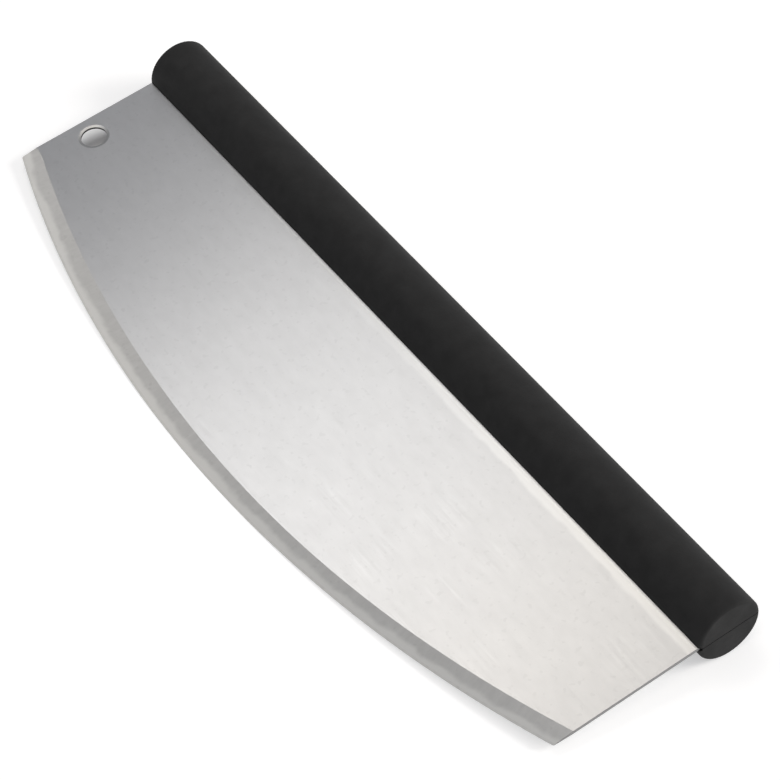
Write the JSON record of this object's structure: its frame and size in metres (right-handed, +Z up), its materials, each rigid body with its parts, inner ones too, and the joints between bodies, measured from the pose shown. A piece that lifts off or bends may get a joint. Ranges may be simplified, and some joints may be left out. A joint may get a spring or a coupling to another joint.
{
  "type": "rocking pizza knife",
  "caption": "Rocking pizza knife: wide curved steel blade with a ground edge and a hanging hole, held by its tang along a round black moulded handle.",
  "frame": {"origin": "centre of the bounding box on the surface that the knife lies on", "axes": "+X along the handle, away from the end with the hanging hole; cutting edge towards -Y; +Z up. The knife lies at rest, so its blade leans 7.3 degrees from the surface, with the handle's underside and the middle of the curved edge at Z = 0"},
  "size_m": [0.3566, 0.1176, 0.0267],
  "materials": {
    "blade_steel": "satin ground",
    "handle_plastic": "fine moulded grain",
    "pin_steel": "turned"
  },
  "bodies": {
    "root": {"blade": "blade_steel", "handle_front_half": "handle_plastic", "handle_back_half": "handle_plastic", "tang_pins": "pin_steel"}
  },
  "joints": []
}
